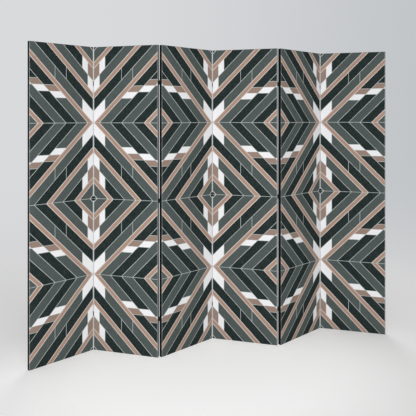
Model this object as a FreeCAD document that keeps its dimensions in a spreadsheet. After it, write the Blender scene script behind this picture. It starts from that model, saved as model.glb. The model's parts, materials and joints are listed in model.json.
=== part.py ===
import FreeCAD, Part
import Sketcher
import os
import re

# Folding screen of six panels. Each panel is a wooden frame of two stiles and three rails
# with a printed canvas on both faces. Three small butt hinges join the panels at each fold.
# The screen stands on z = 0 in its zigzag, with its front towards -Y, its middle fold at
# x = 0 and its origin at the middle of its footprint.

PANELS = 6

SIZES = {
    # Panel
    "panel_width": 400,
    "panel_height": 1800,
    "frame_depth": 19,
    "canvas_thickness": 1,
    "canvas_reveal": 1,
    # Joinery of the frame
    "stile_width": 35,
    "rail_height": 40,
    "mortise_wall": 18,
    "tenon_thickness": 6,
    "tenon_shoulder": 6,
    "tenon_side_clearance": 0.1,
    "tenon_end_clearance": 0.5,
    # Folds: the turn from one panel to the next as the screen stands, in degrees, the
    # distance of the outer hinges from the panel's ends, and how far a hinge's axis
    # stands outside the faces that close on each other
    "fold_turn": 55.5,
    "hinge_end_distance": 216,
    "axis_offset": 1.6,
    # Hinge leaf
    "leaf_height": 25,
    "leaf_width": 15,
    "leaf_thickness": 0.8,
    "leaf_gap": 0.2,
    "knuckle_radius": 1.6,
    "middle_knuckle_height": 9,
    "knuckle_gap": 0.3,
    "notch_clearance": 0.4,
    # Hinge pin
    "pin_radius": 0.8,
    "pin_clearance": 0.05,
    "pin_head_radius": 1.3,
    "pin_head_height": 0.6,
    # Screw
    "screw_line": 9,
    "screw_spacing": 13,
    "screw_length": 14,
    "screw_radius": 1.2,
    "screw_tip_length": 2.4,
    "screw_head_radius": 2.2,
    "screw_clearance": 0.05,
    "recess_width": 0.6,
    "recess_span": 2.6,
    "recess_depth": 0.7,
    # How far a cutting solid runs past what it cuts
    "overrun": 2,
}

# Sizes that follow from the ones above
PANEL_THICKNESS = "(frame_depth + 2 * canvas_thickness)"
SIDE_GAP = "(2 * leaf_thickness + leaf_gap)"
AXIS_X = f"((panel_width + {SIDE_GAP}) / 2)"
AXIS_Y = f"({PANEL_THICKNESS} / 2 + axis_offset)"
PANEL_PITCH = f"(2 * {AXIS_X} * cos(fold_turn / 2) + 2 * {AXIS_Y} * sin(fold_turn / 2))"
STILE_X = "((panel_width - stile_width) / 2)"
RAIL_LENGTH = "(panel_width - 2 * stile_width)"
RAIL_Z = "((panel_height - rail_height) / 2)"
MORTISE_DEPTH = "(stile_width - mortise_wall)"
TENON_LENGTH = f"({MORTISE_DEPTH} - tenon_end_clearance)"
TENON_HEIGHT = "(rail_height - 2 * tenon_shoulder)"
CANVAS_Y = "((frame_depth + canvas_thickness) / 2)"
OUTER_HINGE_Z = "(panel_height / 2 - hinge_end_distance)"
LEAF_X = f"((leaf_thickness - {SIDE_GAP}) / 2)"
LEAF_FACE_X = f"(leaf_thickness - {SIDE_GAP} / 2)"
END_KNUCKLE_HEIGHT = "((leaf_height - middle_knuckle_height) / 2 - knuckle_gap)"
END_KNUCKLE_Z = "(middle_knuckle_height / 2 + knuckle_gap)"
NOTCH_DEPTH = "(knuckle_radius + notch_clearance)"
PILOT_RADIUS = "(screw_radius + screw_clearance)"

RAIL_LEVELS = {"top": RAIL_Z, "middle": "0", "bottom": f"-{RAIL_Z}"}
HINGE_LEVELS = {"upper": OUTER_HINGE_Z, "middle": "0", "lower": f"-{OUTER_HINGE_Z}"}
ORIGIN = ("0", "0", "0")

LEFT, RIGHT = -1, 1
FRONT, BACK = -1, 1


def turned(axis, degrees):
    return FreeCAD.Placement(FreeCAD.Vector(), FreeCAD.Rotation(FreeCAD.Vector(axis), degrees))


# Edge pieces are drawn for a right edge whose hinges have their axis in front. A half turn
# brings them to the other edges.
EDGE_TURNS = {
    (RIGHT, FRONT): turned((0, 0, 1), 0),
    (LEFT, BACK): turned((0, 0, 1), 180),
    (RIGHT, BACK): turned((1, 0, 0), 180),
    (LEFT, FRONT): turned((0, 1, 0), 180),
}
# Brings what is drawn along Z to lie along -X, into a right edge
INTO_EDGE = turned((0, 1, 0), -90)

doc = FreeCAD.newDocument("folding_screen")
sub_parts = []


def fill_sheet():
    sheet = doc.addObject("Spreadsheet::Sheet", "sizes")
    for row, (name, value) in enumerate(SIZES.items(), start=1):
        sheet.set(f"A{row}", name)
        sheet.set(f"B{row}", str(value))
        sheet.setAlias(f"B{row}", name)
    doc.recompute()


def cells(formula):
    """The formula with each size's name as its cell of the sheet."""
    def cell(word):
        return f"sizes.{word[0]}" if word[0] in SIZES else word[0]
    return re.sub("[a-z_]+", cell, formula)


def bind(thing, formulas):
    for prop, formula in formulas.items():
        thing.setExpression(prop, cells(formula))


def bind_base(thing, place):
    bind(thing, {f"Placement.Base.{axis}": formula for axis, formula in zip("xyz", place)})


def box(name, size, centre=ORIGIN):
    solid = doc.addObject("Part::Box", name)
    bind(solid, dict(zip(("Length", "Width", "Height"), size)))
    bind_base(solid, [f"{middle} - ({length}) / 2" for middle, length in zip(centre, size)])
    return solid


def rod(name, radius, height, start, turn=turned((0, 0, 1), 0)):
    """A cylinder up from its start, or turned about it."""
    solid = doc.addObject("Part::Cylinder", name)
    solid.Placement = turn
    bind(solid, {"Radius": radius, "Height": height})
    bind_base(solid, start)
    return solid


def group(name, pieces):
    together = doc.addObject("Part::Compound", name)
    together.Links = pieces
    return together


def fuse(name, pieces):
    whole = doc.addObject("Part::MultiFuse", name)
    whole.Shapes = pieces
    return whole


def cut(name, base, tools):
    rest = doc.addObject("Part::Cut", name)
    rest.Base = base
    rest.Tool = group(f"{name}_tools", tools)
    return rest


def link(name, master, place, turn=turned((0, 0, 1), 0)):
    """A copy of a piece at a place in its panel's own frame."""
    copy = doc.addObject("App::Link", name)
    copy.LinkedObject = master
    copy.Placement = turn
    bind_base(copy, place)
    return copy


def spun(name, outline):
    """A solid of revolution about Z. The outline's points are pairs of formulas, radius and
    height, in order round the half section from the axis back to the axis."""
    body = doc.addObject("PartDesign::Body", name)
    sketch = body.newObject("Sketcher::SketchObject", f"{name}_section")
    plane = next(f for f in body.Origin.OriginFeatures if f.Role == "XZ_Plane")
    sketch.AttachmentSupport = [(plane, "")]
    sketch.MapMode = "FlatFace"
    points = []
    for point in outline:
        across, up = [float(sketch.evalExpression(cells(formula))) for formula in point]
        points.append(FreeCAD.Vector(across, up, 0))
    lines = len(points)
    for index in range(lines):
        line = Part.LineSegment(points[index], points[(index + 1) % lines])
        sketch.addGeometry(line, False)
    for index in range(lines):
        sketch.addConstraint(Sketcher.Constraint("Coincident", index, 2, (index + 1) % lines, 1))
    for index, (radius, height) in enumerate(outline):
        place_point(sketch, index, "DistanceX", radius, -2)
        place_point(sketch, index, "DistanceY", height, -1)
    solid = body.newObject("PartDesign::Revolution", f"{name}_solid")
    solid.Profile = sketch
    solid.ReferenceAxis = (sketch, ["V_Axis"])
    solid.Angle = 360
    return body


def place_point(sketch, index, kind, formula, axis):
    """Hold a line's start on an axis of the sketch, or at a bound distance from it."""
    if formula == "0":
        sketch.addConstraint(Sketcher.Constraint("PointOnObject", index, 1, axis))
        return
    distance = float(sketch.evalExpression(cells(formula)))
    made = sketch.addConstraint(Sketcher.Constraint(kind, -1, 1, index, 1, distance))
    label = f"{kind}_{index}"
    sketch.renameConstraint(made, label)
    bind(sketch, {f"Constraints.{label}": formula})


def make_stile(name, hinged):
    """A right upright: mortises in its inner side and, for hinges, screw holes in its
    outer side."""
    board = box(f"{name}_board", ("stile_width", "frame_depth", "panel_height"))
    mortise = (
        f"{MORTISE_DEPTH} + overrun",
        "tenon_thickness + 2 * tenon_side_clearance",
        f"{TENON_HEIGHT} + 2 * tenon_side_clearance",
    )
    mortise_x = f"({MORTISE_DEPTH} - stile_width - overrun) / 2"
    tools = [
        box(f"{name}_{level}_mortise", mortise, (mortise_x, "0", z))
        for level, z in RAIL_LEVELS.items()
    ]
    if hinged:
        for level, z in HINGE_LEVELS.items():
            for end in ("+", "-"):
                start = ("stile_width / 2", f"screw_line - {AXIS_Y}", f"{z} {end} screw_spacing / 2")
                tools.append(rod(f"{name}_{level}_pilot", PILOT_RADIUS, "screw_length", start, INTO_EDGE))
    return cut(name, board, tools)


def make_rail():
    """A cross piece with a tenon at each end."""
    board = box("rail_board", (RAIL_LENGTH, "frame_depth", "rail_height"))
    tenons = box("rail_tenons", (f"{RAIL_LENGTH} + 2 * {TENON_LENGTH}", "tenon_thickness", TENON_HEIGHT))
    return fuse("rail", [board, tenons])


def make_canvas():
    """One face's canvas, its edges a little inside the frame's."""
    sheet = box("canvas_sheet", (
        "panel_width - 2 * canvas_reveal",
        "canvas_thickness",
        "panel_height - 2 * canvas_reveal",
    ))
    return group("canvas", [sheet])


def make_leaf(name, knuckles, notches):
    """A hinge leaf about its axis, its plate running back along the panel's edge. Knuckles
    and notches are pairs of formulas: lower end and height."""
    plate = box(f"{name}_plate", ("leaf_thickness", "leaf_width", "leaf_height"),
                (LEAF_X, "leaf_width / 2", "0"))
    notch_solids = [
        box(f"{name}_notch", ("3 * leaf_thickness", f"2 * {NOTCH_DEPTH}", height),
            (LEAF_X, "0", f"{start} + ({height}) / 2"))
        for start, height in notches
    ]
    rolls = [
        rod(f"{name}_knuckle", "knuckle_radius", height, ("0", "0", start))
        for start, height in knuckles
    ]
    blank = fuse(f"{name}_blank", [cut(f"{name}_notched_plate", plate, notch_solids)] + rolls)
    bore = rod(f"{name}_bore", "pin_radius + pin_clearance", "leaf_height + 2 * overrun",
               ("0", "0", "-leaf_height / 2 - overrun"))
    screw_holes = [make_countersink(f"{name}_hole", f"{end}screw_spacing / 2") for end in ("", "-")]
    return cut(name, blank, [bore] + screw_holes)


def make_countersink(name, z):
    """A screw hole through a leaf's plate, wide at the plate's open face."""
    cone = doc.addObject("Part::Cone", name)
    cone.Placement = INTO_EDGE
    bind(cone, {
        "Radius1": "screw_head_radius + screw_clearance",
        "Radius2": PILOT_RADIUS,
        "Height": "leaf_thickness",
    })
    bind_base(cone, (LEAF_FACE_X, "screw_line", z))
    return cone


def make_end_leaf():
    """The leaf with a knuckle at each end, notched for the other leaf's knuckle."""
    gap = (f"-{END_KNUCKLE_Z}", f"2 * {END_KNUCKLE_Z}")
    upper = (END_KNUCKLE_Z, END_KNUCKLE_HEIGHT)
    lower = ("-leaf_height / 2", END_KNUCKLE_HEIGHT)
    return make_leaf("end_leaf", [upper, lower], [gap])


def make_middle_leaf():
    """The leaf with one knuckle in the middle, notched at both ends."""
    knuckle = ("-middle_knuckle_height / 2", "middle_knuckle_height")
    notch_height = f"{END_KNUCKLE_HEIGHT} + knuckle_gap + overrun"
    upper = ("middle_knuckle_height / 2", notch_height)
    lower = ("-leaf_height / 2 - overrun", notch_height)
    return make_leaf("middle_leaf", [knuckle], [upper, lower])


def make_pin():
    """The hinge pin up from its lower head, with a riveted head past each barrel end."""
    top_head = "(pin_head_height + leaf_height)"
    return spun("pin", [
        ("0", "0"),
        ("pin_head_radius", "0"),
        ("pin_head_radius", "pin_head_height"),
        ("pin_radius", "pin_head_height"),
        ("pin_radius", top_head),
        ("pin_head_radius", top_head),
        ("pin_head_radius", f"{top_head} + pin_head_height"),
        ("0", f"{top_head} + pin_head_height"),
    ])


def make_screw_pair():
    """A leaf's two countersunk screws, heads level with the plate's open face."""
    blank = spun("screw_blank", [
        ("0", "0"),
        ("screw_head_radius", "0"),
        ("screw_radius", "leaf_thickness"),
        ("screw_radius", "screw_length - screw_tip_length"),
        ("0", "screw_length"),
    ])
    depth = "2 * recess_depth"
    screw = cut("screw", blank, [
        box("recess_across", ("recess_span", "recess_width", depth)),
        box("recess_along", ("recess_width", "recess_span", depth)),
    ])
    return group("screw_pair", [
        link("screw_in_leaf", screw, (LEAF_FACE_X, "screw_line", f"{end}screw_spacing / 2"), INTO_EDGE)
        for end in ("", "-")
    ])


def sub_part(label, panel, copies):
    """A named piece, or a group of like pieces, that stands with its panel. All panels are
    at one pitch, leaning half a fold to one side and the other in turn."""
    piece = group(label, copies)
    piece.Label = label
    lean = 1 if panel % 2 else -1
    piece.Placement = turned((0, 0, lean), 1)
    bind(piece, {"Placement.Rotation.Angle": "fold_turn / 2"})
    bind_base(piece, (f"{panel - (PANELS + 1) / 2} * {PANEL_PITCH}", "0", "panel_height / 2"))
    sub_parts.append(piece)


def make_panel(panel, masters):
    """All the pieces that move with one panel."""
    name = f"panel_{panel}"
    hinge_links = {"leaf": [], "screws": []}
    for side, word in ((LEFT, "left"), (RIGHT, "right")):
        fold = panel if side == RIGHT else panel - 1
        hinged = 0 < fold < PANELS
        axis_face = FRONT if fold % 2 else BACK
        turn = EDGE_TURNS[side, axis_face]
        stile = masters["hinged_stile" if hinged else "plain_stile"]
        stile_place = (f"{side} * {STILE_X}", "0", "0")
        sub_part(f"{name}_{word}_stile", panel, [link(f"{word}_stile_link", stile, stile_place, turn)])
        if not hinged:
            continue
        leaf = masters["end_leaf" if side == RIGHT else "middle_leaf"]
        for z in HINGE_LEVELS.values():
            place = (f"{side} * {AXIS_X}", f"{axis_face} * {AXIS_Y}", z)
            hinge_links["leaf"].append(link("leaf_link", leaf, place, turn))
            hinge_links["screws"].append(link("screws_link", masters["screw_pair"], place, turn))
    for level, z in RAIL_LEVELS.items():
        sub_part(f"{name}_{level}_rail", panel, [link("rail_link", masters["rail"], ("0", "0", z))])
    for side, word in ((FRONT, "front"), (BACK, "back")):
        place = ("0", f"{side} * {CANVAS_Y}", "0")
        sub_part(f"{name}_{word}_canvas", panel, [link("canvas_link", masters["canvas"], place)])
    sub_part(f"{name}_hinge_leaves", panel, hinge_links["leaf"])
    sub_part(f"{name}_hinge_screws", panel, hinge_links["screws"])


def make_fold_pins(fold, masters):
    """A fold's three hinge pins, which stay with the panel at its left."""
    axis_face = FRONT if fold % 2 else BACK
    foot = "(leaf_height / 2 + pin_head_height)"
    pins = [
        link("pin_link", masters["pin"], (AXIS_X, f"{axis_face} * {AXIS_Y}", f"{z} - {foot}"))
        for z in HINGE_LEVELS.values()
    ]
    sub_part(f"fold_{fold}_hinge_pins", fold, pins)


def write_parts():
    """Check every object, then write each sub-part's solids to its own file."""
    failed = [thing.Name for thing in doc.Objects if {"Invalid", "Error"} & set(thing.State)]
    if failed:
        raise SystemExit(f"failed objects: {failed}")
    for piece in sub_parts:
        if piece.Shape.isNull() or not piece.Shape.isValid():
            raise SystemExit(f"{piece.Label} has no valid shape")
    os.makedirs("parts", exist_ok=True)
    for piece in sub_parts:
        solids = piece.Shape.Solids
        shape = solids[0] if len(solids) == 1 else Part.makeCompound(solids)
        shape.exportStep(f"parts/{piece.Label}.step")
        print(f"{piece.Label}: {len(solids)} solids, {piece.Shape.Volume / 1000:.2f} cm3")


def main():
    fill_sheet()
    masters = {
        "plain_stile": make_stile("plain_stile", False),
        "hinged_stile": make_stile("hinged_stile", True),
        "rail": make_rail(),
        "canvas": make_canvas(),
        "end_leaf": make_end_leaf(),
        "middle_leaf": make_middle_leaf(),
        "pin": make_pin(),
        "screw_pair": make_screw_pair(),
    }
    for panel in range(1, PANELS + 1):
        make_panel(panel, masters)
    for fold in range(1, PANELS):
        make_fold_pins(fold, masters)
    doc.recompute()
    write_parts()


main()
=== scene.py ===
import json
import math

import bmesh
import bpy
from mathutils import Matrix, Vector


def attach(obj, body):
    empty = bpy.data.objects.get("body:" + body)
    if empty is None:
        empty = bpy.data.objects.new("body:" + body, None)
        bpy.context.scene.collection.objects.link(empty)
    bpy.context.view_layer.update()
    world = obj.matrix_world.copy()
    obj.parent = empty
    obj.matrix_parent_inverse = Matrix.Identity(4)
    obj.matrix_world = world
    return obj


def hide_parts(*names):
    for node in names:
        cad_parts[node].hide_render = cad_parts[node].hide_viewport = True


# Folding screen of six panels. The wooden frames and the hinges are the model's own solids
# with better materials. Each canvas is built here: a taut sheet on its frame, printed with a
# geometric ornament that is mirrored at every fold.

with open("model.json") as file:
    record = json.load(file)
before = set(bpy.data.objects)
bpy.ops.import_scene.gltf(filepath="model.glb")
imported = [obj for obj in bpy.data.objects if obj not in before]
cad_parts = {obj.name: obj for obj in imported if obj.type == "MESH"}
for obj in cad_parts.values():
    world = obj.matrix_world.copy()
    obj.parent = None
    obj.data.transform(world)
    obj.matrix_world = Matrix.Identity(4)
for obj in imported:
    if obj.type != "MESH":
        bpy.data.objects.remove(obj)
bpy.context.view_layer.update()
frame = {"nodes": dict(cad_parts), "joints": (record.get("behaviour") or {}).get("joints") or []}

MM = 0.001
PANELS = range(1, 7)
ROW_MIDDLE = 3.5  # between panels 3 and 4
joints = {joint["name"]: joint for joint in frame["joints"]}
FOLD_TURN = math.radians(-joints["fold_3"]["range_deg"][0])
PANEL_PITCH = joints["fold_4"]["pos_m"][0] - joints["fold_3"]["pos_m"][0]
PANEL_WIDTH = 400 * MM
PANEL_HEIGHT = 1800 * MM
STILE_WIDTH = 35 * MM
RAIL_HEIGHT = 40 * MM
STILES = ("left_stile", "right_stile")
RAILS = ("top_rail", "middle_rail", "bottom_rail")


def srgb(red, green, blue):
    """A colour written as 0-255 display values, as linear red, green, blue and alpha."""
    linear = [
        c / 255 / 12.92 if c / 255 <= 0.04045 else ((c / 255 + 0.055) / 1.055) ** 2.4
        for c in (red, green, blue)
    ]
    return (*linear, 1.0)


def panel_side(panel):
    """1 for a panel whose right edge is at a fold that points back, -1 for its left edge."""
    return 1 if panel % 2 else -1


def panel_place(panel):
    """From a panel's own frame, x along it and its front towards -y, to its place."""
    across = (panel - ROW_MIDDLE) * PANEL_PITCH
    turn = Matrix.Rotation(panel_side(panel) * FOLD_TURN / 2, 4, "Z")
    return Matrix.Translation((across, 0, 0)) @ turn


# Node graphs

COLOUR_A, COLOUR_B, COLOUR_RESULT = 6, 7, 2  # a Mix node's sockets for colours


class Graph:
    """Short calls for the nodes of one material or world. A value is a socket or a number."""

    def __init__(self, name=None, world=None):
        self.material = world or bpy.data.materials.new(name)
        self.material.use_nodes = True
        self.tree = self.material.node_tree
        if world:
            self.tree.nodes.clear()
        else:
            self.shader = self.tree.nodes["Principled BSDF"]

    def node(self, kind, **settings):
        made = self.tree.nodes.new(f"ShaderNode{kind}")
        for key, value in settings.items():
            setattr(made, key, value)
        return made

    def feed(self, socket, value):
        if isinstance(value, bpy.types.NodeSocket):
            self.tree.links.new(value, socket)
        else:
            socket.default_value = value

    def math(self, operation, *values):
        made = self.node("Math", operation=operation)
        for socket, value in zip(made.inputs, values):
            self.feed(socket, value)
        return made.outputs["Value"]

    def add(self, *values):
        return self.math("ADD", *values)

    def times(self, *values):
        return self.math("MULTIPLY", *values)

    def weigh(self, *parts):
        """The sum of some values, each times its weight."""
        total, *others = [self.times(value, weight) for value, weight in parts]
        for other in others:
            total = self.add(total, other)
        return total

    def swing(self, value, base, reach):
        """base where the value is 0, and base + reach where it is 1."""
        return self.add(self.times(value, reach), base)

    def within(self, value, low, high):
        """1 from low to high and 0 elsewhere."""
        return self.math("COMPARE", value, (low + high) / 2, (high - low) / 2)

    def mix(self, share, first, second, clamp=True):
        made = self.node("Mix", data_type="RGBA", clamp_factor=clamp)
        self.feed(made.inputs["Factor"], share)
        self.feed(made.inputs[COLOUR_A], first)
        self.feed(made.inputs[COLOUR_B], second)
        return made.outputs[COLOUR_RESULT]

    def spread(self, value, low, high, first=0.0, last=1.0):
        """first up to low and last from high on, with a smooth change between them."""
        made = self.node("MapRange", interpolation_type="SMOOTHSTEP")
        for socket, number in zip(made.inputs, (value, low, high, first, last)):
            self.feed(socket, number)
        return made.outputs["Result"]

    def noise(self, vector, scale, detail=2.0, roughness=0.5):
        made = self.node("TexNoise")
        self.feed(made.inputs["Vector"], vector)
        for name, value in (("Scale", scale), ("Detail", detail), ("Roughness", roughness)):
            made.inputs[name].default_value = value
        return made.outputs["Fac"]

    def scaled(self, vector, scale, turn=0.0):
        """The vector turned about z and then scaled along each axis."""
        made = self.node("Mapping", vector_type="POINT")
        turned = self.node("VectorRotate", rotation_type="Z_AXIS")
        self.feed(turned.inputs["Vector"], vector)
        turned.inputs["Angle"].default_value = turn
        self.feed(made.inputs["Vector"], turned.outputs["Vector"])
        made.inputs["Scale"].default_value = scale
        return made.outputs["Vector"]

    def bump(self, height, distance, strength):
        made = self.node("Bump")
        self.feed(made.inputs["Height"], height)
        made.inputs["Distance"].default_value = distance
        made.inputs["Strength"].default_value = strength
        return made.outputs["Normal"]

    def surface(self, **inputs):
        """Set or link the shader's inputs, named with _ for a space."""
        for name, value in inputs.items():
            self.feed(self.shader.inputs[name.replace("_", " ")], value)
        return self.material


# The printed ornament. It is symmetric about every fold and about every 450 mm of height, so
# one quarter of a tile describes it. u runs in mm from the fold that points back to the one
# that points to the front, v in mm from the nearest line of diamond centres, and
# s = u + v / SLOPE counts the slanted bands.

SLOPE = 1.0284  # mm of v that a slanted band drops for each mm of u
TILE = 900  # mm of height from one row of diamond centres to the next
BEYOND = 1000  # past every edge of the quarter tile
DARK = srgb(38, 48, 47)
GREEN = srgb(81, 90, 88)
BLUSH = srgb(171, 142, 126)
BLUSH_EDGE = srgb(210, 201, 195)
TAUPE = srgb(152, 130, 118)
WHITE = srgb(240, 240, 242)
GROUT = srgb(188, 196, 194)
GROUT_PALE = srgb(214, 209, 205)  # between white and taupe
CORE = srgb(26, 33, 32)

# In mm of s: the ends of the core and of the line round it, then of the slanted bands
CORE_END, CORE_LINE_END = 18.5, 25.0
BAND_ENDS = (
    88.9, 127.3, 196.4, 263.3, 301.3, 370.6, 437.4, 475.6, 544.0, 614.5, 683.1, 752.2, 789.4,
)
BLUSH_BANDS = (1, 4, 7, 12)
LINED_BANDS = (2, 5, 8, 9, 10)  # those with a slanted line at their outer end
EDGE_RUN = 6.1  # how much of a blush band's s its pale edge takes
# In mm of u or v: the upright and the level edges of the taupe and white areas
U_NEAR, U_FAR = 36.9, 72.0
V_FIRST, V_SECOND, V_THIRD, V_FOURTH = 199.4, 234.6, 270.4, 306.8
BAND_5_CUT, BAND_6_CUT = 176.3, 246.4  # mm of u at the upright line across each band
FINE, THICK = 2.5, 2.8  # mm across a printed line
BACK_FOLD_LINE = 2.7  # mm of u at the inside of the line along the fold that points back
FRONT_FOLD_LINE = (396.7, 398.1)  # mm of u at both sides of the line along the other fold


def band(first, last=None):
    """The s limits of a slanted band, or of a run of them. Band 1 is the innermost blush."""
    return ("s", BAND_ENDS[first - 1], BAND_ENDS[last or first])


def line(axis, middle, width=FINE):
    return (axis, middle - width / 2, middle + width / 2)


def slanted_line(number):
    """The line at the outer end of a band, with its real width turned into s."""
    return line("s", BAND_ENDS[number], THICK * math.hypot(1, 1 / SLOPE))


def blush_areas(number):
    """A blush band with its pale edges."""
    axis, start, end = band(number)
    return [
        (BLUSH_EDGE, (axis, start, end)),
        (BLUSH, (axis, start + EDGE_RUN, end - EDGE_RUN)),
    ]


# Areas on a green ground, each over those before it: a colour, then what bounds it
AREAS = [
    (GROUT, ("s", -BEYOND, CORE_LINE_END)),
    (CORE, ("s", -BEYOND, CORE_END)),
    (DARK, band(2)),
    (TAUPE, band(2), ("u", -BEYOND, U_NEAR)),
    (WHITE, band(2), ("u", U_NEAR, U_FAR)),
    (WHITE, band(3), ("u", -BEYOND, U_NEAR)),
    (DARK, band(5)),
    (WHITE, band(6), ("u", -BEYOND, U_FAR)),
    (DARK, band(8), ("v", -BEYOND, V_SECOND)),
    (TAUPE, band(8), ("v", V_SECOND, V_THIRD)),
    (WHITE, band(8), ("v", V_THIRD, V_FOURTH)),
    (DARK, band(9)),
    (TAUPE, band(9), ("v", V_FIRST, V_SECOND)),
    (WHITE, band(9), ("v", V_SECOND, V_THIRD)),
    (WHITE, band(10), ("v", -BEYOND, V_SECOND)),
    (DARK, band(11)),
]
AREAS += [area for number in BLUSH_BANDS for area in blush_areas(number)]
AREAS += [(GROUT, slanted_line(number)) for number in LINED_BANDS]
AREAS += [
    (GROUT, line("u", U_NEAR), band(2, 3)),
    (GROUT, line("u", U_FAR), band(2)),
    (GROUT, line("u", U_FAR), band(6)),
    (GROUT, line("u", BAND_5_CUT), band(5)),
    (GROUT, line("u", BAND_6_CUT), band(6)),
    (GROUT, line("v", V_SECOND), band(8, 10)),
    (GROUT, line("v", V_THIRD), band(8, 9)),
    (GROUT, line("v", V_FOURTH), band(8)),
    (GROUT_PALE, line("v", V_THIRD), band(8)),
    (GROUT_PALE, line("v", V_SECOND), band(9)),
    (GROUT_PALE, line("u", U_NEAR), band(2)),
    (GROUT, line("v", V_FIRST), band(9)),
    (GROUT, line("v", 0)),
    (GROUT, line("v", TILE / 2)),
    (GROUT, ("u", 0, BACK_FOLD_LINE), ("s", CORE_END, BAND_ENDS[2])),
    (GROUT, ("u", 0, BACK_FOLD_LINE), band(4, 5)),
    (GROUT, ("u", *FRONT_FOLD_LINE)),
]


def ornament(graph, u, v):
    """The print's colour, one area mixed over another."""
    values = {"u": u, "v": v, "s": graph.add(u, graph.math("DIVIDE", v, SLOPE))}
    colour = GREEN
    for paint, *bounds in AREAS:
        inside = 1.0
        for axis, low, high in bounds:
            inside = graph.times(inside, graph.within(values[axis], low, high))
        colour = graph.mix(inside, colour, paint)
    return colour


# The canvas. A scale is how fine a noise is, and a share what it adds to the brightness
THREAD = 1.2  # mm from one thread of the weave to the next
WEAVE_SHARE = 0.03
CLOUD_SCALE, CLOUD_SHARE = 9.0, 0.10
SPECKLE_SCALE, SPECKLE_SHARE = 190.0, 0.24
FIBRE_SCALE, FIBRE_SHARE = (1600.0, 260.0, 1.0), 0.12
PLAIN_VALUE = 0.77  # the brightness that the shares are added to
SLUB_THIN, SLUB_LONG = 500.0, 25.0  # the scale across and along the threads that stand out
SLUB_AND_SHEEN_SHARE = 0.06  # the most of white that the slubs and the painted sheen of the threads are mixed with
# the white of the slubs and of the threads' painted sheen
SLUB_AND_SHEEN_WHITE = srgb(255, 255, 255)
WEAVE_RELIEF = 0.5  # how high the weave stands for the fibres' height of 1


def printed_canvas():
    graph = Graph("printed_canvas")
    place = graph.node("UVMap", uv_map="print")
    split = graph.node("SeparateXYZ")
    graph.feed(split.inputs["Vector"], place.outputs["UV"])
    u, z = (graph.times(split.outputs[axis], 1 / MM) for axis in "XY")
    colour = ornament(graph, u, graph.math("PINGPONG", z, TILE / 2))
    metres = place.outputs["UV"]
    cloud = graph.noise(metres, CLOUD_SCALE, detail=2.0)
    speckle = graph.noise(metres, SPECKLE_SCALE, detail=1.0)
    fibre = graph.noise(graph.scaled(metres, FIBRE_SCALE), scale=1.0, detail=1.0)
    warp = graph.math("SINE", graph.times(u, math.pi / THREAD))
    weft = graph.math("SINE", graph.times(z, math.pi / THREAD))
    weave = graph.times(warp, weft)
    tone = graph.weigh(
        (cloud, CLOUD_SHARE),
        (speckle, SPECKLE_SHARE),
        (fibre, FIBRE_SHARE),
        (weave, WEAVE_SHARE),
    )
    shade = graph.node("HueSaturation")
    graph.feed(shade.inputs["Color"], colour)
    graph.feed(shade.inputs["Value"], graph.add(tone, PLAIN_VALUE))
    # Paler and darker threads: slubs of the weave, and a painted sheen on the threads where they
    # are paler. They show most where the print is dark. The two noises have a mean of 0.5 each,
    # so less 1 their sum goes both ways from 0
    slubs_and_sheen = [
        graph.noise(graph.scaled(metres, (*scales, 1.0)), scale=1.0, detail=1.0)
        for scales in ((SLUB_THIN, SLUB_LONG), (SLUB_LONG, SLUB_THIN))
    ]
    share = graph.times(graph.add(graph.add(*slubs_and_sheen), -1.0), SLUB_AND_SHEEN_SHARE)
    threaded_with_sheen = graph.mix(share, shade.outputs["Color"], SLUB_AND_SHEEN_WHITE, clamp=False)
    relief = graph.add(graph.times(weave, WEAVE_RELIEF), fibre)
    return graph.surface(
        Base_Color=threaded_with_sheen,
        Roughness=0.85,
        Specular_IOR_Level=0.08,
        Normal=graph.bump(relief, distance=0.12 * MM, strength=0.6),
    )


PAINT, PAINT_WORN = srgb(12, 13, 14), srgb(24, 25, 26)
PAINT_FIBRE_SHARE, PAINT_WEAR_SHARE = 0.6, 0.4  # in where the paint is worn
STEEL, STEEL_WORN = srgb(18, 19, 20), srgb(42, 43, 44)


def black_wood(name, grain, turn=0.0):
    """Satin black paint over wood. The grain vector scales the noise along x, y and z."""
    graph = Graph(name)
    coords = graph.node("TexCoord").outputs["Object"]
    along = graph.scaled(coords, grain, turn)
    fibre = graph.noise(along, scale=1.0, detail=4.0, roughness=0.65)
    wear = graph.noise(coords, scale=35.0, detail=3.0)
    patches = graph.weigh((fibre, PAINT_FIBRE_SHARE), (wear, PAINT_WEAR_SHARE))
    worn = graph.spread(patches, low=0.3, high=0.7)
    return graph.surface(
        Base_Color=graph.mix(worn, PAINT, PAINT_WORN),
        Roughness=graph.swing(wear, base=0.5, reach=0.2),
        Specular_IOR_Level=0.1,
        Normal=graph.bump(fibre, distance=0.15 * MM, strength=0.5),
    )


def black_steel():
    graph = Graph("black_steel")
    coords = graph.node("TexCoord").outputs["Object"]
    wear = graph.noise(coords, scale=260.0, detail=3.0)
    worn = graph.spread(wear, low=0.35, high=0.75)
    pits = graph.noise(coords, scale=900.0)
    return graph.surface(
        Base_Color=graph.mix(worn, STEEL, STEEL_WORN),
        Roughness=graph.swing(wear, base=0.28, reach=0.25),
        Metallic=0.4,
        Specular_IOR_Level=0.5,
        Normal=graph.bump(pits, distance=0.04 * MM, strength=0.5),
    )


# Canvases. In a panel's own frame x runs across from its middle and z up from the floor.

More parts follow.
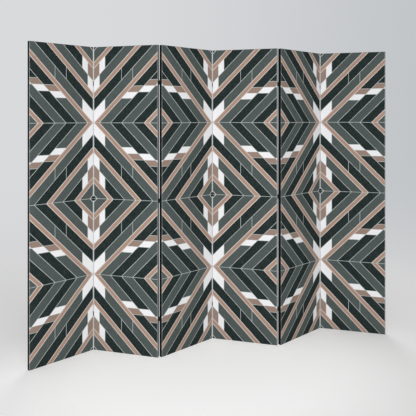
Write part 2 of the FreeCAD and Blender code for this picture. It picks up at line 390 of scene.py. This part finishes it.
CANVAS_REVEAL = 1 * MM  # the bare edge of the frame beside a canvas
CANVAS_THICKNESS = 0.9 * MM
CANVAS_SEAT = 9.54 * MM  # from the middle of the frame's depth to the inside of a canvas
CANVAS_DIP = 0.35 * MM  # how far a canvas stands back where nothing holds it
DIP_RUN = 30 * MM  # over how long a run it gets there
RIM_RADIUS = 0.4 * MM
RIM_ANGLES = (0, 22.5, 45, 67.5, 90)  # degrees round the rim where the mesh has its lines
BEND_PARTS, FLAT_PARTS = 4, 6  # the mesh's divisions over a bend and over the flat beyond it
HALF_PRINT = PANEL_WIDTH / 2 - CANVAS_REVEAL
PRINT_BOTTOM, PRINT_TOP = CANVAS_REVEAL, PANEL_HEIGHT - CANVAS_REVEAL
MIDDLE_RAIL = PANEL_HEIGHT / 2
MIDDLE_RAIL_TOP = MIDDLE_RAIL + RAIL_HEIGHT / 2
# Shares of the bake's map: a strip of the printed face, and the rest above both strips
STRIP_WIDTH = 0.49
STRIP_HEIGHT = 0.97
STRIP_GAP = 0.01
REST_HEIGHT = 1 - STRIP_HEIGHT - STRIP_GAP


def smooth(low, high, value):
    share = min(max((value - low) / (high - low), 0.0), 1.0)
    return share * share * (3 - 2 * share)


def dip(distance, held):
    """How far a taut canvas stands back, from 0 on its frame to 1 clear of it."""
    return smooth(held, held + DIP_RUN, distance)


def sag(x, z):
    """How far the canvas stands back between its stiles and rails."""
    to_side = PANEL_WIDTH / 2 - abs(x)
    to_rail = min(z, PANEL_HEIGHT - z, abs(z - MIDDLE_RAIL) + RAIL_HEIGHT / 2)
    return CANVAS_DIP * dip(to_side, STILE_WIDTH) * dip(to_rail, RAIL_HEIGHT)


def rounding(x, z):
    """How far the rounded rim stands back from the face."""
    inset = min(HALF_PRINT - abs(x), z - PRINT_BOTTOM, PRINT_TOP - z)
    if inset >= RIM_RADIUS:
        return 0.0
    return RIM_RADIUS - math.sqrt(max(RIM_RADIUS**2 - (RIM_RADIUS - inset) ** 2, 0.0))


def stops_between(start, end, held):
    """Grid lines from one held strip to the next, close together where the canvas bends."""
    bend = [start + held + DIP_RUN * step / BEND_PARTS for step in range(BEND_PARTS + 1)]
    back = [start + end - place for place in bend[::-1]]
    flat = back[0] - bend[-1]
    middle = [bend[-1] + flat * step / FLAT_PARTS for step in range(1, FLAT_PARTS)]
    return bend + middle + back


def grid_lines():
    """Where a canvas's mesh has its upright lines in x and its level ones in z."""
    rim = [RIM_RADIUS * (1 - math.cos(math.radians(angle))) for angle in RIM_ANGLES]
    xs = [inset - HALF_PRINT for inset in rim]
    xs += stops_between(-PANEL_WIDTH / 2, PANEL_WIDTH / 2, STILE_WIDTH)
    xs += [HALF_PRINT - inset for inset in rim[::-1]]
    zs = [PRINT_BOTTOM + inset for inset in rim]
    zs += stops_between(0, MIDDLE_RAIL_TOP, RAIL_HEIGHT)
    zs += stops_between(MIDDLE_RAIL - RAIL_HEIGHT / 2, PANEL_HEIGHT, RAIL_HEIGHT)
    zs += [PRINT_TOP - inset for inset in rim[::-1]]
    return xs, zs


GRID_X, GRID_Z = grid_lines()


def add_layer(mesh, side, outside):
    """The vertices of a canvas's outer or inner face, by their place in the grid."""
    verts = {}
    for i, x in enumerate(GRID_X):
        for k, z in enumerate(GRID_Z):
            y = CANVAS_SEAT - sag(x, z)
            if outside:
                y += CANVAS_THICKNESS - rounding(x, z)
            verts[i, k] = mesh.verts.new((x, side * y, z))
    return verts


def add_faces(mesh, outer, inner):
    """The faces that show the print, and those of the rim and the inside."""
    last_i, last_k = len(GRID_X) - 1, len(GRID_Z) - 1
    printed, hidden = [], []
    for i in range(last_i):
        for k in range(last_k):
            ring = [(i, k), (i + 1, k), (i + 1, k + 1), (i, k + 1)]
            printed.append(mesh.faces.new([outer[c] for c in ring]))
            hidden.append(mesh.faces.new([inner[c] for c in ring[::-1]]))
    border = [(i, 0) for i in range(last_i)]
    border += [(last_i, k) for k in range(last_k)]
    border += [(i, last_k) for i in range(last_i, 0, -1)]
    border += [(0, k) for k in range(last_k, 0, -1)]
    for here, there in zip(border, border[1:] + border[:1]):
        corners = [outer[there], outer[here], inner[here], inner[there]]
        hidden.append(mesh.faces.new(corners))
    for face in printed + hidden:
        face.smooth = True
    return printed, hidden


def map_print(faces, layer, fold_x):
    """The print's map: metres from the fold that points back, and metres up."""
    for face in faces:
        for loop in face.loops:
            x, _, z = loop.vert.co
            loop[layer].uv = (abs(x - fold_x), z)


def map_bake(printed, hidden, layer):
    """The bake's map: the printed face in two strips side by side, the rest above them."""
    for face in printed:
        upper = face.calc_center_median().z > MIDDLE_RAIL_TOP
        start = MIDDLE_RAIL_TOP if upper else PRINT_BOTTOM
        for loop in face.loops:
            x, _, z = loop.vert.co
            across = (x + HALF_PRINT) / (2 * HALF_PRINT) * STRIP_WIDTH
            across += (1 - STRIP_WIDTH) * upper
            loop[layer].uv = (across, (z - start) / MIDDLE_RAIL_TOP * STRIP_HEIGHT)
    for face in hidden:
        for loop in face.loops:
            x, _, z = loop.vert.co
            along = (z - PRINT_BOTTOM) / (PRINT_TOP - PRINT_BOTTOM)
            down = REST_HEIGHT * (x + HALF_PRINT) / (2 * HALF_PRINT)
            loop[layer].uv = (along, 1 - down)


def add_object(name, mesh):
    """A new object in the scene, made of the finished mesh."""
    data = bpy.data.meshes.new(name)
    mesh.to_mesh(data)
    mesh.free()
    thing = bpy.data.objects.new(name, data)
    bpy.context.scene.collection.objects.link(thing)
    return thing


def build_canvas(panel, side):
    """A panel's front canvas where side is -1, and its back one where it is 1."""
    mesh = bmesh.new()
    print_uv = mesh.loops.layers.uv.new("print")
    bake_uv = mesh.loops.layers.uv.new("OFBake")
    outer = add_layer(mesh, side, outside=True)
    inner = add_layer(mesh, side, outside=False)
    printed, hidden = add_faces(mesh, outer, inner)
    map_print(printed + hidden, print_uv, panel_side(panel) * PANEL_WIDTH / 2)
    map_bake(printed, hidden, bake_uv)
    bmesh.ops.recalc_face_normals(mesh, faces=mesh.faces)
    piece = add_object(f"panel_{panel}_{'front' if side < 0 else 'back'}_print", mesh)
    piece.matrix_world = panel_place(panel)
    return piece


canvas_material = printed_canvas()
for panel in PANELS:
    for side, word in ((-1, "front"), (1, "back")):
        canvas = build_canvas(panel, side)
        canvas.data.materials.append(canvas_material)
        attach(canvas, f"panel_{panel}")
        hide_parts(f"panel_{panel}_{word}_canvas")


# Frames and hinges

GRAIN_ACROSS = 420.0  # noise scales per metre
GRAIN_ALONG = 6.0
WOOD_EDGE = 0.6 * MM  # how wide each kind of piece has its edges softened
LEAF_EDGE = 0.2 * MM
SCREW_EDGE = 0.1 * MM
PIN_EDGE = 0.15 * MM


def dress(node, material, edge):
    """Give a solid of the model its material and softened edges."""
    thing = frame["nodes"][node]
    thing.data.materials.clear()
    thing.data.materials.append(material)
    soften = thing.modifiers.new("soft_edges", "BEVEL")
    soften.width = edge
    soften.segments = 2
    soften.limit_method = "ANGLE"
    soften.angle_limit = math.radians(40)
    soften.harden_normals = False


stile_wood = black_wood("black_wood_stile", (GRAIN_ACROSS, GRAIN_ACROSS, GRAIN_ALONG))
rail_woods = {
    side: black_wood(
        f"black_wood_rail_{'right' if side > 0 else 'left'}",
        (GRAIN_ALONG, GRAIN_ACROSS, GRAIN_ACROSS),
        -side * FOLD_TURN / 2,
    )
    for side in (1, -1)
}
steel = black_steel()
for panel in PANELS:
    for member in STILES:
        dress(f"panel_{panel}_{member}", stile_wood, WOOD_EDGE)
    for member in RAILS:
        dress(f"panel_{panel}_{member}", rail_woods[panel_side(panel)], WOOD_EDGE)
    dress(f"panel_{panel}_hinge_leaves", steel, LEAF_EDGE)
    dress(f"panel_{panel}_hinge_screws", steel, SCREW_EDGE)
for fold in PANELS[:-1]:
    dress(f"fold_{fold}_hinge_pins", steel, PIN_EDGE)


# Floor, lights and camera

PURE_WHITE = (1.0, 1.0, 1.0, 1.0)
WALL = srgb(217, 218, 220)
WALL_PAINTED_SHADE = srgb(179, 184, 188)  # the wall's painted shade, past the picture's right edge
FLOOR = srgb(226, 226, 226)
FLOOR_FAR = srgb(211, 211, 212)
HORIZON = (-0.34, -0.1)  # z of the directions between which the floor becomes the wall
FLOOR_RADIUS = 3.0
FLOOR_SOLID = 1.5  # how far out the floor is before it fades
PAINTED_LIGHT_POOL = (-0.15, -0.37, 0.0)  # the middle of the painted pool of light on the floor, its brightest place
PAINTED_POOL_DEPTH = 0.59  # how deep the painted oval of light is for its width
PAINTED_POOL_REACH = (0.54, 1.72)  # metres from its middle to where it starts to fade, and to its end
PAINTED_POOL_GLOW = (0.41, 0.166)  # the painted light that the floor gives off, seen directly only, within the first and beyond the second
AMBIENT = 0.4  # the strength of the light from all round
LAMP_TARGET = (0.0, 0.0, 0.8)
# Each lamp's name, place, width and height in metres, and power in watts
LAMPS = (
    ("key", (-0.6, -3.7, 1.2), (2.2, 1.4), 66),
    ("side", (-2.6, -4.0, 1.2), (2.2, 1.4), 46),
    ("back", (1.2, 4.4, 2.2), (2.6, 2.6), 90),
)
CAMERA_PLACE = (-0.89001, -3.05781, 1.38403)
CAMERA_PITCH, CAMERA_YAW = 90, -12.577  # degrees; it looks level
SENSOR, LENS = 36.0, 45.102  # mm
CAMERA_SHIFT = (0.06046, -0.21869)  # shares of the picture's width


def seen_directly(graph):
    """1 for rays that show the backdrop itself, 0 for those that light the object."""
    path = graph.node("LightPath").outputs
    seen = graph.math("MAXIMUM", path["Is Camera Ray"], path["Is Glossy Ray"])
    return graph.math("MAXIMUM", seen, path["Is Transmission Ray"])


def studio_world():
    world = bpy.data.worlds.new("studio")
    graph = Graph(world=world)
    direction = graph.node("SeparateXYZ")
    graph.feed(direction.inputs["Vector"], graph.node("TexCoord").outputs["Generated"])

    # Painted shade: the wall gets darker towards the right
    painted_shade_to_right = graph.spread(direction.outputs["X"], low=0.0, high=1.0)
    wall = graph.mix(painted_shade_to_right, WALL, WALL_PAINTED_SHADE)
    upwards = graph.spread(direction.outputs["Z"], *HORIZON)
    backdrop = graph.mix(upwards, FLOOR_FAR, wall)
    shown = graph.node("Background")
    graph.feed(shown.inputs["Color"], backdrop)
    ambient = graph.node("Background")
    ambient.inputs["Color"].default_value = PURE_WHITE
    ambient.inputs["Strength"].default_value = AMBIENT
    choose = graph.node("MixShader")
    shares = (seen_directly(graph), ambient.outputs[0], shown.outputs[0])
    for socket, value in zip(choose.inputs, shares):
        graph.feed(socket, value)
    out = graph.node("OutputWorld")
    graph.feed(out.inputs["Surface"], choose.outputs["Shader"])
    bpy.context.scene.world = world


def studio_floor():
    """A pale disc that fades into the backdrop, with a painted pool of light glowing on it where
    it is seen directly.
    """
    mesh = bmesh.new()
    bmesh.ops.create_circle(
        mesh, cap_ends=True, cap_tris=True, segments=96, radius=FLOOR_RADIUS
    )
    floor = add_object("floor", mesh)
    graph = Graph("floor")
    coords = graph.node("TexCoord").outputs["Object"]
    length = graph.node("VectorMath", operation="LENGTH")
    graph.feed(length.inputs[0], coords)
    fade = graph.spread(
        length.outputs["Value"], FLOOR_SOLID, FLOOR_RADIUS, first=1.0, last=0.0
    )
    # Painted light: the floor glows brightest in an oval in front of the screen, for rays that
    # see it directly, and lights nothing
    from_painted_pool = graph.node("VectorMath", operation="DISTANCE")
    graph.feed(from_painted_pool.inputs[0], graph.scaled(coords, (1.0, 1 / PAINTED_POOL_DEPTH, 1.0)))
    from_painted_pool.inputs[1].default_value = (PAINTED_LIGHT_POOL[0], PAINTED_LIGHT_POOL[1] / PAINTED_POOL_DEPTH, PAINTED_LIGHT_POOL[2])
    painted_pool_light = graph.spread(from_painted_pool.outputs["Value"], *PAINTED_POOL_REACH, *PAINTED_POOL_GLOW)
    graph.surface(
        Base_Color=FLOOR,
        Roughness=0.9,
        Specular_IOR_Level=0.1,
        Alpha=fade,
        Emission_Color=PURE_WHITE,
        Emission_Strength=graph.times(seen_directly(graph), painted_pool_light),
    )
    floor.data.materials.append(graph.material)


def area_light(name, place, size, power):
    lamp = bpy.data.lights.new(name, "AREA")
    lamp.shape = "RECTANGLE"
    lamp.size, lamp.size_y = size
    lamp.energy = power
    holder = bpy.data.objects.new(name, lamp)
    bpy.context.scene.collection.objects.link(holder)
    holder.location = place
    aim = Vector(LAMP_TARGET) - Vector(place)
    holder.rotation_euler = aim.to_track_quat("-Z", "Y").to_euler()
    holder.visible_camera = False


def studio_camera():
    lens = bpy.data.cameras.new("camera")
    lens.sensor_width = SENSOR
    lens.lens = LENS
    lens.shift_x, lens.shift_y = CAMERA_SHIFT
    camera = bpy.data.objects.new("camera", lens)
    bpy.context.scene.collection.objects.link(camera)
    camera.location = CAMERA_PLACE
    camera.rotation_euler = (math.radians(CAMERA_PITCH), 0.0, math.radians(CAMERA_YAW))
    bpy.context.scene.camera = camera


studio_world()
studio_floor()
for lamp_row in LAMPS:
    area_light(*lamp_row)
studio_camera()

scene = bpy.context.scene
scene.view_settings.view_transform = "Standard"
